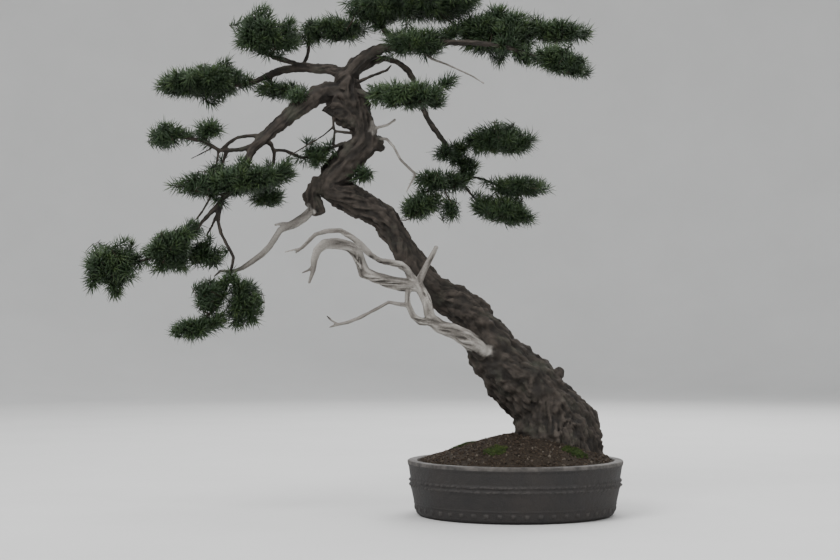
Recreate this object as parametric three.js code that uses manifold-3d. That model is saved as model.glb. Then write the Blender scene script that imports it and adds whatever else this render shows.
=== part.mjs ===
// A slanting conifer bonsai in a round, dark clay pot. Millimetres, +Z up, and the origin is the
// centre of the pot's flat base. +X is to the right and +Y is to the back.
import * as THREE from 'three';
import { mergeVertices } from 'three/addons/utils/BufferGeometryUtils.js';
import Module from 'manifold-3d';

const wasm = await Module();
wasm.setup();

// ---- Driving dimensions ------------------------------------------------------------------

const restGap = 0.3; // left between pieces that touch
const potSides = 40; // flats round the pot and the soil in it

const pot = {
  rimRadius: 188,
  height: 96,
  lipWidth: 17,
  lipRound: 3.5,
  lipDepth: 9,
  wall: 12, // thickness at the belt
  floor: 12,
  footSetIn: 20, // of the foot's side from the rim
  footHeight: 3,
  skirtSetIn: 15, // from the rim, where the wall starts just above the foot
  skirtRound: 4,
  beltTop: 65,
  beltBottom: 50,
  beltProud: 3,
  beltSetIn: 5, // how far the wall's face at the belt lies inside the rim
};

const drain = {
  count: 3,
  holeRadius: 11,
  ringRadius: 80,
  firstAngle: 30, // degrees from +X
  screenSide: 36,
  screenThick: 1.2,
  meshHoles: 3, // along each side of a screen
  meshBar: 3,
};

const wire = {
  radius: 1,
  grooveWidth: 5,
  grooveDepth: 3.6,
  headroom: 12, // from the wire's top down to the rim's level
  meetAngle: 130.1, // degrees from +X, of where its two ends meet behind the trunk
  trunkClearance: 23.2, // from there to the flare of the trunk
};

const soil = {
  belowRim: 3,
  moundHeight: 50,
  moundSharpness: 1.2,
  moundShift: [40, 6], // of the mound's top from the pot's centre
  lump: 1.2,
};

const moss = {
  count: 5,
  radius: 30,
  thickness: 7,
  nearness: 0.66, // share of the way from the mound's top out to the wall
  firstAngle: 95,
};

const treeHeight = 855; // from the pot's rim level to the top of the foliage
const drawnHeight = 855; // the height at which the limbs and foliage below are drawn
const growth = treeHeight / drawnHeight;

const footClearance = 18; // from the flare of the trunk to the pot's lip
const footBack = 10; // of the trunk's foot behind the pot's centre
const footDrop = 3; // of the drawn limbs' zero level below the pot's rim
const roots = {
  count: 7,
  radius: 21,
  tipRadius: 5,
  rise: 34, // of a root's back over the rim's level where it leaves the trunk
  dive: 42, // of its tip below the rim's level
  wallClearance: 12,
  firstAngle: 12,
};

// Each limb is a row of places that it grows through: x, y, z and its radius there. They start
// from the middle of the trunk's foot. The dry twigs (bare_) and the bleached limbs (jin) come last.
const limbs = {
  trunk: [
    [2, 2, -40, 84], [10, 0, -10, 84], [8, 0, 25, 80], [0, 0, 55, 75], [-10, 0, 76, 67],
    [-22, -2, 104, 56.5], [-52, -4, 134, 56], [-83, -6, 160, 52], [-108, -8, 188, 45],
    [-127, -8, 230, 36], [-146, -4, 256, 33], [-168, -2, 272, 31], [-190, 0, 284, 28],
    [-212, 4, 302, 24], [-232, 5, 325, 22], [-250, 6, 350, 22], [-269, 8, 381, 21.5],
    [-285, 10, 408, 22], [-300, 10, 426, 23], [-322, 10, 440, 24], [-349, 10, 455, 25],
    [-372, 10, 467, 26], [-390, 10, 480, 27.5], [-386, 6, 502, 26.5], [-368, 3, 520, 25.5],
    [-350, 0, 539, 25.5], [-334, -4, 556, 24.5], [-331, -6, 576, 22], [-336, -9, 597, 21],
    [-348, -10, 620, 23], [-360, -10, 643, 24.5], [-366, -10, 664, 22], [-369, -10, 683, 15],
  ],
  elbow_burl: [
    [-380, 8, 478, 22], [-416, 8, 483, 17.5], [-427, 5, 465, 15], [-418, 2, 446, 15],
    [-412, -2, 432, 11],
  ],
  burl_right: [[-330, -6, 560, 20], [-309, -4, 555, 16], [-303, -4, 545, 9]],
  knob_low: [[-5, 0, 138, 18], [9, 0, 151, 12], [14, 0, 158, 7]],
  crotch: [[-345, -9, 590, 18], [-366, -12, 606, 20], [-392, -18, 628, 20]],
  crown: [
    [-365, -10, 664, 19], [-350, -12, 690, 16.5], [-330, -15, 705, 14], [-313, -18, 717, 11.5],
    [-292, -22, 722, 9.5], [-270, -26, 722, 8.5], [-220, -36, 725, 7], [-184, -40, 728, 6],
    [-140, -40, 728, 5.2], [-97, -39, 723, 4.5], [-60, -41, 712, 3.8], [-20, -44, 699, 3],
  ],
  apex: [
    [-260, -28, 724, 6.5], [-280, -16, 738, 6], [-297, -4, 752, 5.6], [-306, 4, 771, 5],
    [-298, 10, 793, 4], [-278, 14, 811, 3.3],
  ],
  apex_right: [[-303, 6, 776, 4], [-264, 18, 794, 3.4], [-215, 24, 802, 2.8]],
  apex_left: [[-306, 4, 767, 4], [-334, -4, 780, 3.2], [-355, -8, 788, 2.6]],
  crown_right: [
    [-201, -38, 728, 5.5], [-170, -14, 751, 4.7], [-122, 14, 769, 4], [-68, 26, 774, 3.5],
    [-15, 28, 766, 2.8],
  ],
  crown_twig: [
    [-233, -32, 715, 3.3], [-213, -40, 699, 2.4], [-190, -46, 690, 2.1], [-146, -52, 669, 1.7],
    [-124, -54, 655, 1.4],
  ],
  left_limb: [
    [-369, -8, 678, 15.5], [-390, -2, 686, 10.5], [-437, 10, 691, 9.1], [-474, 18, 688, 7.4],
    [-495, 21, 682, 6.9], [-515, 23, 673, 5.3], [-540, 23, 664, 4.2], [-580, 20, 660, 3.4],
  ],
  left_limb_front: [[-447, 12, 695, 6], [-467, -2, 701, 4.9], [-491, -16, 705, 4.2], [-511, -26, 717, 3.4]],
  left_limb_back: [
    [-440, 12, 698, 4.2], [-434, 20, 713, 3.4], [-432, 28, 728, 3.2], [-434, 34, 743, 2.8],
    [-414, 38, 753, 2.5],
  ],
  left_limb_spur: [[-497, 21, 682, 3.5], [-500, 28, 667, 2.7], [-491, 34, 657, 2.3]],
  right_limb: [
    [-355, -8, 678, 12], [-334, -1, 691, 9], [-317, 8, 701, 7.7], [-299, 17, 708, 6.9],
    [-278, 27, 704, 6.4], [-259, 35, 692, 6], [-247, 41, 675, 5.7], [-240, 47, 653, 5.3],
    [-231, 50, 627, 5.3], [-220, 52, 602, 5.3], [-204, 54, 579, 5.6], [-186, 56, 556, 5.6],
    [-170, 58, 538, 5], [-157, 60, 520, 4.3], [-156, 62, 501, 3.9], [-159, 62, 483, 3.2],
  ],
  right_drop_top: [[-174, 58, 542, 3.7], [-151, 50, 555, 3.2], [-121, 43, 565, 2.8], [-80, 37, 561, 2.4]],
  right_drop_sprig: [[-184, 56, 552, 3], [-190, 40, 537, 2.3]],
  right_drop_right: [[-157, 62, 505, 3.2], [-121, 74, 498, 2.5], [-92, 80, 488, 2.3]],
  right_drop_left: [[-159, 61, 496, 3.2], [-183, 46, 489, 2.8], [-209, 36, 483, 2.6], [-234, 28, 465, 2]],
  right_drop_low: [[-157, 62, 487, 2.9], [-139, 74, 466, 2.5], [-114, 82, 450, 2.3]],
  front_limb: [[-355, -14, 649, 8.7], [-330, -40, 639, 6.2], [-301, -62, 633, 5], [-267, -76, 632, 3.8]],
  inner_twig: [
    [-355, -16, 656, 4.5], [-330, -26, 667, 3.1], [-309, -32, 675, 2.9], [-293, -38, 680, 2.5],
    [-284, -42, 689, 2],
  ],
  sprig_right: [[-359, 2, 520, 4.2], [-341, -10, 503, 2.4]],
  cascade: [
    [-379, -12, 646, 19], [-414, -22, 640, 17.4], [-445, -30, 616, 14.8], [-478, -42, 587, 13.2],
    [-502, -52, 565, 11.7], [-522, -60, 542, 8.3], [-534, -65, 519, 7.2], [-552, -72, 485, 6.2],
    [-575, -78, 450, 5.3], [-592, -83, 431, 4.1], [-608, -88, 413, 3.7], [-628, -94, 388, 3.4],
    [-658, -100, 370, 3], [-695, -105, 351, 2.7], [-736, -110, 339, 2.4],
  ],
  cascade_tail: [
    [-576, -77, 449, 4.5], [-581, -76, 414, 3.3], [-576, -74, 394, 3.1], [-564, -72, 371, 3],
    [-555, -70, 354, 3], [-559, -70, 334, 3], [-564, -72, 309, 2.7], [-579, -76, 275, 2.5],
    [-607, -82, 244, 2.2],
  ],
  tail_spur: [[-562, -72, 315, 2.4], [-546, -62, 296, 2.2], [-533, -56, 301, 1.9]],
  cascade_inner: [
    [-582, -78, 431, 2.9], [-593, -70, 407, 2.6], [-601, -66, 394, 2.4], [-596, -60, 380, 2.2],
    [-605, -56, 361, 2.1],
  ],
  cascade_outer: [
    [-568, -78, 462, 2.7], [-591, -86, 460, 2.6], [-606, -94, 432, 2.6], [-617, -98, 416, 2.4],
  ],
  mid_arc: [
    [-509, -52, 564, 5.5], [-531, -58, 564, 4], [-549, -64, 561, 3.8], [-562, -69, 552, 3.7],
    [-577, -75, 538, 3.8],
  ],
  mid_limb: [
    [-517, -58, 549, 5.5], [-542, -66, 540, 4.5], [-579, -76, 537, 4.1], [-590, -84, 544, 4],
    [-603, -92, 551, 3.9], [-617, -100, 554, 3.7], [-656, -112, 560, 2.7],
  ],
  mid_spur: [[-601, -92, 550, 2.6], [-600, -94, 567, 2.2]],
  mid_twig: [[-590, -86, 541, 1.9], [-609, -94, 530, 1.6], [-626, -102, 520, 1.4]],
  terrace_left: [[-581, -76, 536, 2.9], [-582, -80, 523, 2.4], [-586, -85, 503, 2.2]],
  terrace_right: [[-567, -72, 536, 3.6], [-572, -70, 523, 3.1], [-576, -68, 504, 2.6]],
  terrace_inner: [
    [-505, -52, 562, 5.9], [-492, -44, 549, 4.2], [-488, -37, 534, 3.8], [-490, -31, 519, 3.5],
    [-502, -24, 497, 3], [-506, -19, 473, 2.4],
  ],
  sprig_limb: [[-492, -42, 541, 3.4], [-470, -27, 541, 3.6], [-442, -12, 530, 3.4], [-425, -5, 533, 2.8]],
  sprig_twig: [[-352, -6, 556, 3.9], [-376, -12, 553, 3.5], [-400, -11, 543, 3], [-413, -6, 533, 2.6]],
  sprig_upper: [[-438, -32, 618, 3.5], [-446, -40, 630, 2.4]],
  bare_loop: [[-348, -9, 573, 3.5], [-384, -16, 576, 3], [-387, -16, 590, 2.6], [-383, -13, 607, 2.3]],
  bare_link: [[-384, -16, 577, 2.8], [-387, -14, 553, 2.8]],
  bare_long_twig: [
    [-386, -16, 584, 2.1], [-403, -24, 568, 1.8], [-451, -34, 538, 1.5], [-474, -38, 523, 1.3],
  ],
  bare_hanging_twig: [
    [-414, -23, 617, 2.5], [-419, -30, 588, 2], [-427, -36, 565, 1.7], [-428, -40, 547, 1.3],
  ],
  bare_stub: [[-326, -10, 576, 4.5], [-308, -18, 583, 2.9], [-292, -24, 586, 2.5], [-278, -28, 595, 2]],
  bare_twig: [
    [-316, -12, 564, 4.1], [-293, -24, 562, 3.1], [-281, -30, 548, 2.7], [-269, -34, 525, 2.7],
    [-253, -38, 509, 2.6], [-243, -40, 499, 2.7], [-252, -36, 482, 2], [-259, -32, 468, 1.5],
  ],
  jin: [
    [-118, -20, 188, 20], [-132, -44, 197, 16.4], [-157, -56, 217, 15.2], [-179, -60, 229, 13.1],
    [-200, -62, 236, 11.7], [-217, -62, 249, 9.6], [-222, -60, 272, 8.1], [-231, -57, 294, 8.3],
    [-239, -56, 306, 8.8],
  ],
  jin_thick: [
    [-237, -56, 304, 8.6], [-264, -60, 307, 12], [-289, -64, 313, 10.7], [-312, -68, 320, 10.4],
    [-330, -72, 328, 11.3], [-336, -76, 345, 9.8], [-342, -80, 361, 10.3], [-357, -84, 373, 9.6],
    [-378, -88, 378, 9.2], [-398, -92, 377, 8.2], [-410, -94, 365, 7.3], [-415, -96, 348, 6],
    [-417, -96, 331, 4.4], [-424, -96, 309, 2],
  ],
  jin_side_stub: [[-416, -96, 338, 3.5], [-427, -100, 330, 2.5], [-437, -104, 326, 1.6]],
  jin_prong: [
    [-212, -62, 243, 8.6], [-234, -66, 245, 7.9], [-247, -70, 253, 6.5], [-255, -70, 272, 5.7],
    [-257, -66, 289, 5.2], [-254, -60, 306, 5.9],
  ],
  jin_upper: [
    [-239, -56, 303, 8.4], [-248, -60, 318, 7.6], [-258, -66, 332, 6.9], [-269, -72, 341, 6.4],
    [-287, -80, 345, 5.8], [-304, -90, 348, 5.5], [-319, -100, 357, 6], [-334, -108, 372, 6.2],
    [-350, -114, 387, 5.9], [-370, -118, 398, 5.2], [-392, -120, 397, 4.8], [-412, -122, 391, 5.1],
    [-422, -124, 381, 4], [-434, -126, 369, 3.2], [-445, -128, 359, 1.7],
  ],
  jin_upper_fork: [[-437, -126, 367, 2.4], [-452, -130, 364, 1.6], [-463, -132, 361, 1.2]],
  jin_snag: [[-240, -56, 308, 7.6], [-225, -55, 339, 6], [-215, -54, 356, 5.2], [-206, -52, 374, 3.2]],
  jin_thin: [
    [-255, -70, 272, 4.5], [-274, -76, 274, 3.7], [-289, -82, 277, 3.5], [-304, -88, 268, 3.4],
    [-323, -92, 258, 3.5], [-341, -96, 249, 3.6], [-359, -100, 242, 3.4], [-377, -104, 238, 2.8],
    [-392, -108, 233, 1.5],
  ],
  jin_thin_fork: [[-374, -104, 239, 2.5], [-386, -102, 246, 2.1], [-394, -100, 254, 1.5]],
  left_jin: [
    [-428, -2, 436, 9], [-440, -12, 424, 9], [-452, -20, 416, 8.6], [-466, -25, 409, 7.3],
    [-478, -28, 402, 6.4], [-486, -30, 390, 6.1], [-496, -32, 374, 6.1], [-510, -35, 360, 6.2],
    [-529, -38, 346, 5.4], [-544, -41, 336, 4.6], [-560, -44, 330, 3.5], [-580, -48, 331, 2.8],
    [-592, -52, 320, 2],
  ],
  left_jin_fork: [[-461, -24, 413, 4.2], [-475, -28, 414, 2.8], [-488, -32, 411, 1.6]],
};

const thickLimbs = { trunk: 12, elbow_burl: 8, crown: 7, cascade: 7, left_limb: 7, jin: 8, jin_thick: 8 };
const thinSides = 5;
const finestRadius = 3; // limbs that never get thicker than this have the fewest sides
const finestSides = 4;
const bark = { lump: 0.06, flutes: 3 }; // how far the trunk departs from round

// Foliage stands on its twigs in separate flat clouds: centre and half sizes along X, Y and Z, in
// the same frame as the limbs, and a tilt in degrees that lowers the left end.
const clouds = {
  apex: { at: [-250, 5, 803], half: [134, 78, 54], tilt: 0 },
  crown_left: { at: [-516, -30, 739], half: [49, 44, 45], tilt: 0 },
  crown_shelf: { at: [-387, 34, 760], half: [74, 44, 30], tilt: 3 },
  crown_inner: { at: [-239, -38, 725], half: [69, 50, 31], tilt: 0 },
  crown_right: { at: [-99, 10, 748], half: [81, 60, 55], tilt: 0 },
  crown_right_tip: { at: [12, 28, 754], half: [60, 44, 25], tilt: 0 },
  crown_right_low: { at: [10, -46, 693], half: [59, 46, 29], tilt: -18 },
  left_arm: { at: [-621, 20, 663], half: [90, 60, 37], tilt: 2 },
  left_arm_inner: { at: [-482, 32, 652], half: [51, 30, 19], tilt: -3 },
  front_shelf: { at: [-251, -76, 629], half: [79, 52, 31], tilt: 0 },
  mid_tip: { at: [-663, -112, 557], half: [34, 36, 29], tilt: -10 },
  mid_inner: { at: [-596, -94, 571], half: [29, 28, 19], tilt: 0 },
  terrace: { at: [-562, -70, 482], half: [113, 64, 31], tilt: 6 },
  terrace_inner: { at: [-501, -20, 459], half: [33, 28, 21], tilt: 0 },
  cascade_tip: { at: [-759, -110, 333], half: [53, 48, 42], tilt: -10 },
  cascade_arm: { at: [-658, -98, 369], half: [60, 46, 32], tilt: 24 },
  cascade_inner: { at: [-610, -56, 354], half: [45, 40, 26], tilt: 0 },
  tail_left: { at: [-594, -78, 281], half: [33, 34, 41], tilt: 0 },
  tail_right: { at: [-541, -60, 278], half: [34, 36, 47], tilt: 0 },
  tail_tip: { at: [-622, -84, 230], half: [44, 36, 24], tilt: 10 },
  sprig_upper: { at: [-444, -42, 633], half: [23, 20, 16], tilt: 0 },
  sprig_left: { at: [-416, -6, 532], half: [25, 22, 26], tilt: 0 },
  sprig_right: { at: [-339, -10, 498], half: [24, 20, 17], tilt: 0 },
  right_drop_top: { at: [-92, 37, 562], half: [76, 50, 34], tilt: 0 },
  right_drop_middle: { at: [-147, 60, 523], half: [20, 20, 16], tilt: 0 },
  right_drop_sprig: { at: [-188, 40, 539], half: [25, 22, 18], tilt: 0 },
  right_drop_left: { at: [-199, 38, 491], half: [50, 40, 23], tilt: 0 },
  right_drop_left_low: { at: [-234, 26, 444], half: [37, 36, 27], tilt: 8 },
  right_drop_tuft: { at: [-183, 36, 436], half: [20, 20, 28], tilt: 0 },
  right_drop_right: { at: [-53, 78, 483], half: [59, 46, 22], tilt: 0 },
  right_drop_low: { at: [-84, 74, 440], half: [68, 46, 29], tilt: -12 },
};
const cloudLobes = 5; // bulges round the outline of each cloud
const cloudLump = 0.08; // how far they stand out, as a share of the half size
const cloudUnderside = 0.8; // how deep the underside is beside the top

const colours = {
  clay: { color: '#17161a', roughness: 0.75 },
  plastic: { color: '#20241f', roughness: 0.6 },
  metal: { color: '#6d5a49', roughness: 0.45, metalness: 0.8 },
  soil: { color: '#2b241d', roughness: 0.95 },
  moss: { color: '#2f3a1c', roughness: 0.95 },
  bark: { color: '#2a231e', roughness: 0.9 },
  needles: { color: '#1d2a1b', roughness: 0.7 },
};

// ---- Solids ------------------------------------------------------------------------------

const radians = THREE.MathUtils.degToRad;
const lerp = THREE.MathUtils.lerp;

// A closed three.js geometry as a solid that can be joined and cut.
function solidOf(geometry) {
  const bare = geometry.clone();
  bare.deleteAttribute('normal');
  bare.deleteAttribute('uv');
  const merged = mergeVertices(bare, 1e-4);
  return new wasm.Manifold(new wasm.Mesh({
    numProp: 3,
    vertProperties: new Float32Array(merged.attributes.position.array),
    triVerts: new Uint32Array(merged.index.array),
  }));
}

// The same solid as a three.js geometry, with loose crumbs left by a cut dropped.
function geometryOf(solid) {
  const parts = solid.decompose();
  parts.sort((a, b) => b.volume() - a.volume());
  const mesh = parts[0].getMesh();
  const geometry = new THREE.BufferGeometry();
  geometry.setAttribute('position', new THREE.BufferAttribute(mesh.vertProperties, mesh.numProp));
  geometry.setIndex(new THREE.BufferAttribute(mesh.triVerts, 1));
  geometry.computeVertexNormals();
  return geometry;
}

function boxSolid(sizes, centre) {
  return solidOf(new THREE.BoxGeometry(...sizes).translate(...centre));
}

// An upright cylinder from z = low to z = high.
function discSolid(radius, low, high, x, y, sides) {
  const geometry = new THREE.CylinderGeometry(radius, radius, high - low, sides);
  geometry.rotateX(Math.PI / 2);
  return solidOf(geometry.translate(x, y, (low + high) / 2));
}

// A profile of [radius, z] pairs that starts and ends on the axis, turned about Z.
function turnedGeometry(profile, sectors) {
  const geometry = new THREE.LatheGeometry(profile.map(([r, z]) => new THREE.Vector2(r, z)), sectors);
  return geometry.rotateX(Math.PI / 2);
}

// A tapered limb: a cylinder's rings are set square to a smooth curve through the places, and take
// their radius from the places too. grow makes it thicker and longer all over.
function limbSolid(places, sides, grow, lump) {
  const rings = places.length - 1;
  const points = places.map(([x, y, z]) => new THREE.Vector3(x, y, z));
  const curve = new THREE.CatmullRomCurve3(points, false, 'centripetal');
  const geometry = new THREE.CylinderGeometry(1, 1, 1, sides, rings);
  const position = geometry.attributes.position;
  const frames = [];
  let side = new THREE.Vector3(0, 1, 0);
  for (let ring = 0; ring <= rings; ring += 1) {
    const share = ring / rings;
    const tangent = curve.getTangent(share);
    side = side.clone().addScaledVector(tangent, -side.dot(tangent)).normalize();
    const across = new THREE.Vector3().crossVectors(tangent, side);
    const span = Math.min(Math.floor(share * (places.length - 1)), places.length - 2);
    const radius = lerp(places[span][3], places[span + 1][3], share * (places.length - 1) - span);
    const centre = curve.getPoint(share);
    if (ring === 0) {
      centre.addScaledVector(tangent, -grow);
    }
    if (ring === rings) {
      centre.addScaledVector(tangent, grow);
    }
    frames.push({ centre, side, across, radius });
  }
  for (let i = 0; i < position.count; i += 1) {
    const ring = Math.round((position.getY(i) + 0.5) * rings);
    const frame = frames[ring];
    const around = Math.atan2(position.getX(i), position.getZ(i));
    const swell = 1 + lump * Math.sin(bark.flutes * around + 1.7 * ring);
    const radius = frame.radius * swell + grow;
    const point = frame.centre.clone();
    point.addScaledVector(frame.side, position.getZ(i) * radius);
    point.addScaledVector(frame.across, position.getX(i) * radius);
    position.setXYZ(i, point.x, point.y, point.z);
  }
  return solidOf(geometry);
}

// ---- Pot ---------------------------------------------------------------------------------

const rimLevel = pot.height;
const beltRadius = pot.rimRadius - pot.beltSetIn;
const mouthRadius = pot.rimRadius - pot.lipWidth;
const footRadius = pot.rimRadius - pot.footSetIn;
const skirtRadius = pot.rimRadius - pot.skirtSetIn;
const innerFootRadius = skirtRadius - pot.wall;
const flareRadius = limbs.trunk[1][3] * growth;
const treeFoot = [mouthRadius - flareRadius - footClearance, footBack];

function potSolid() {
  const beltMiddle = (pot.beltTop + pot.beltBottom) / 2;
  const beltRound = (pot.beltTop - pot.beltBottom) / 6;
  const profile = [
    [0, 0],
    [footRadius, 0],
    [footRadius, pot.footHeight],
    [skirtRadius - pot.skirtRound, pot.footHeight],
    [skirtRadius, pot.footHeight + pot.skirtRound],
    [beltRadius, pot.beltBottom],
    [beltRadius + pot.beltProud, pot.beltBottom + beltRound],
    [beltRadius + pot.beltProud * 0.4, beltMiddle],
    [beltRadius + pot.beltProud, pot.beltTop - beltRound],
    [beltRadius, pot.beltTop],
    [pot.rimRadius - 1, rimLevel - pot.lipDepth],
    [pot.rimRadius, rimLevel - pot.lipRound],
    [pot.rimRadius - pot.lipRound, rimLevel],
    [mouthRadius + pot.lipRound, rimLevel],
    [mouthRadius, rimLevel - pot.lipRound],
    [innerFootRadius, pot.floor],
    [0, pot.floor],
  ];
  let solid = solidOf(turnedGeometry(profile, potSides));
  for (const [x, y] of drainPlaces()) {
    solid = solid.subtract(discSolid(drain.holeRadius, -1, pot.floor + 1, x, y, 20));
  }
  const [right, left] = wireHoles();
  const grooveLength = right[0] - left[0];
  return solid.subtract(boxSolid(
    [grooveLength, wire.grooveWidth, wire.grooveDepth * 2],
    [(right[0] + left[0]) / 2, right[1], 0],
  ));
}

function drainPlaces() {
  const places = [];
  for (let i = 0; i < drain.count; i += 1) {
    const angle = radians(drain.firstAngle + (360 / drain.count) * i);
    places.push([drain.ringRadius * Math.cos(angle), drain.ringRadius * Math.sin(angle)]);
  }
  return places;
}

// The tie wire uses the two holes at the back.
function wireHoles() {
  return drainPlaces().slice(0, 2);
}

// A square of plastic mesh that keeps the soil in, lying over one drain hole.
function screenSolid([x, y]) {
  const low = pot.floor + restGap;
  const middle = low + drain.screenThick / 2;
  let solid = boxSolid([drain.screenSide, drain.screenSide, drain.screenThick], [x, y, middle]);
  const pitch = (drain.screenSide - drain.meshBar) / drain.meshHoles;
  const hole = pitch - drain.meshBar;
  for (let row = 0; row < drain.meshHoles; row += 1) {
    for (let column = 0; column < drain.meshHoles; column += 1) {
      const holeX = x + (column - (drain.meshHoles - 1) / 2) * pitch;
      const holeY = y + (row - (drain.meshHoles - 1) / 2) * pitch;
      solid = solid.subtract(boxSolid([hole, hole, drain.screenThick * 2], [holeX, holeY, middle]));
    }
  }
  return solid;
}

// One wire lies in the groove under the pot, comes up through two drain holes and meets behind the
// trunk, under the soil, where its ends stand side by side.
function wirePlaces() {
  const [[rightX, holeY], [leftX]] = wireHoles();
  const under = wire.grooveDepth - wire.radius - restGap;
  const top = rimLevel - wire.headroom;
  const half = wire.radius + restGap / 2;
  const meetReach = flareRadius + wire.trunkClearance;
  const meetX = treeFoot[0] + meetReach * Math.cos(radians(wire.meetAngle));
  const meetY = treeFoot[1] + meetReach * Math.sin(radians(wire.meetAngle));
  const leg = (x, toward) => [
    [meetX + toward * half, meetY, top, wire.radius],
    [lerp(meetX, x, 0.5), meetY - 8, top - 8, wire.radius],
    [lerp(meetX, x, 0.9), holeY + 22, top - 26, wire.radius],
    [x, holeY, top - 46, wire.radius],
    [x, holeY, pot.floor, wire.radius],
    [x, holeY, under + 5, wire.radius],
    [x - toward * 5, holeY, under, wire.radius],
  ];
  return [...leg(rightX, 1), ...leg(leftX, -1).reverse()];
}

// ---- Tree --------------------------------------------------------------------------------

function placed([x, y, z, radius]) {
  const height = rimLevel - footDrop + z * growth;
  return [treeFoot[0] + x * growth, treeFoot[1] + y * growth, height, radius * growth];
}

// How far it is from the trunk's foot to the inside of the pot in one direction.
function wallDistance(angle) {
  const direction = new THREE.Vector2(Math.cos(angle), Math.sin(angle));
  const foot = new THREE.Vector2(...treeFoot);
  const along = foot.dot(direction);
  return Math.sqrt(along * along - foot.lengthSq() + innerFootRadius * innerFootRadius) - along;
}

function rootPlaces(index) {
  const angle = radians(roots.firstAngle + (360 / roots.count) * index);
  const reach = wallDistance(angle) - roots.wallClearance - roots.tipRadius;
  const at = (share, z, radius) => [
    treeFoot[0] + Math.cos(angle) * reach * share,
    treeFoot[1] + Math.sin(angle) * reach * share,
    rimLevel + z,
    radius,
  ];
  return [
    at(0.2, roots.rise, roots.radius),
    at(0.55, roots.rise / 3, roots.radius * 0.9),
    at(0.8, -roots.dive / 3, roots.radius * 0.55),
    at(1, -roots.dive, roots.tipRadius),
  ];
}

function sidesOf(name, places) {
  const thickest = Math.max(...places.map((place) => place[3]));
  return thickLimbs[name] ?? (thickest > finestRadius ? thinSides : finestSides);
}

function woodSolid(grow) {
  const solids = Object.entries(limbs).map(([name, route]) => (
    limbSolid(route.map(placed), sidesOf(name, route), grow, name === 'trunk' ? bark.lump : 0)
  ));
  for (let i = 0; i < roots.count; i += 1) {
    solids.push(limbSolid(rootPlaces(i), thinSides, grow, 0));
  }
  return wasm.Manifold.union(solids);
}

// One cloud of foliage: a flattened ball with a lumpy outline and a flatter underside.
function cloudSolid({ at, half, tilt }, grow) {
  const geometry = new THREE.IcosahedronGeometry(1, 2);
  const position = geometry.attributes.position;
  for (let i = 0; i < position.count; i += 1) {
    const x = position.getX(i);
    const y = position.getY(i);
    const z = position.getZ(i);
    const around = Math.atan2(y, x);
    const level = Math.hypot(x, y);
    const lump = 1 + cloudLump * level * Math.sin(cloudLobes * around + at[0] * 0.05);
    const flat = z < 0 ? cloudUnderside : 1;
    const radii = half.map((value) => value * growth * lump + grow);
    position.setXYZ(i, x * radii[0], y * radii[1], z * (radii[2] * flat));
  }
  geometry.rotateY(radians(-tilt));
  const [x, y, z] = placed([...at, 0]);
  return solidOf(geometry.translate(x, y, z));
}

// ---- Soil and moss -----------------------------------------------------------------------

// The soil fills the pot and rises in a mound whose top is off centre, under the trunk.
function soilSolid(lift) {
  const fill = rimLevel - soil.belowRim;
  const wallShare = (fill - pot.floor) / (rimLevel - pot.lipRound - pot.floor);
  const topRadius = lerp(innerFootRadius, mouthRadius, wallShare) - restGap * 1.5;
  const profile = [[0, pot.floor + restGap], [innerFootRadius - restGap * 1.5, pot.floor + restGap]];
  const rings = 6;
  for (let i = 0; i <= rings; i += 1) {
    const share = 1 - i / rings;
    const dome = Math.pow(1 - share * share, soil.moundSharpness);
    profile.push([topRadius * share, fill + soil.moundHeight * dome + lift]);
  }
  const geometry = turnedGeometry(profile, potSides);
  const position = geometry.attributes.position;
  for (let i = 0; i < position.count; i += 1) {
    const x = position.getX(i);
    const y = position.getY(i);
    const z = position.getZ(i);
    const share = Math.min(Math.hypot(x, y) / topRadius, 1);
    const inward = z > pot.floor + 1 ? 1 - share * share : 0;
    const lump = soil.lump * inward * Math.sin(x * 0.09 + 1) * Math.cos(y * 0.11);
    position.setXYZ(i, x + soil.moundShift[0] * inward, y + soil.moundShift[1] * inward, z + lump);
  }
  return solidOf(geometry);
}

// A low cushion of moss on the mound; what reaches into the soil is cut away.
function mossSolid(index) {
  const angle = radians(moss.firstAngle + (360 / moss.count) * index);
  const share = moss.nearness;
  const inward = 1 - share * share;
  const x = mouthRadius * share * Math.cos(angle) + soil.moundShift[0] * inward;
  const y = mouthRadius * share * Math.sin(angle) + soil.moundShift[1] * inward;
  const z = rimLevel - soil.belowRim + soil.moundHeight * Math.pow(inward, soil.moundSharpness);
  const geometry = new THREE.IcosahedronGeometry(1, 2);
  geometry.scale(moss.radius, moss.radius * 0.8, moss.thickness);
  const slope = Math.atan2(soil.moundHeight, mouthRadius);
  geometry.rotateY(slope);
  geometry.rotateZ(angle);
  return solidOf(geometry.translate(x, y, z));
}

// ---- Assembly ----------------------------------------------------------------------------

const tree = new THREE.Group();

function addPiece(name, solid, look) {
  const mesh = new THREE.Mesh(geometryOf(solid), new THREE.MeshStandardMaterial(look));
  mesh.name = name;
  tree.add(mesh);
}

const wirePath = wirePlaces();
const tieWire = limbSolid(wirePath, finestSides, 0, 0);
const tieWireRoom = limbSolid(wirePath, finestSides, restGap * 1.3, 0);
const wood = woodSolid(0).subtract(tieWireRoom);
const woodRoom = woodSolid(restGap * 1.3);

addPiece('pot', potSolid(), colours.clay);
drainPlaces().forEach((place, i) => {
  addPiece(`drain_screen_${i + 1}`, screenSolid(place).subtract(tieWireRoom), colours.plastic);
});
addPiece('tie_wire', tieWire, colours.metal);
addPiece('trunk_and_branches', wood, colours.bark);

let soilBody = soilSolid(0).subtract(woodRoom).subtract(tieWireRoom);
for (const [x, y] of drainPlaces()) {
  const side = drain.screenSide + restGap * 2;
  soilBody = soilBody.subtract(boxSolid(
    [side, side, (drain.screenThick + restGap * 2) * 2],
    [x, y, pot.floor],
  ));
}
addPiece('soil', soilBody, colours.soil);

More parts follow.
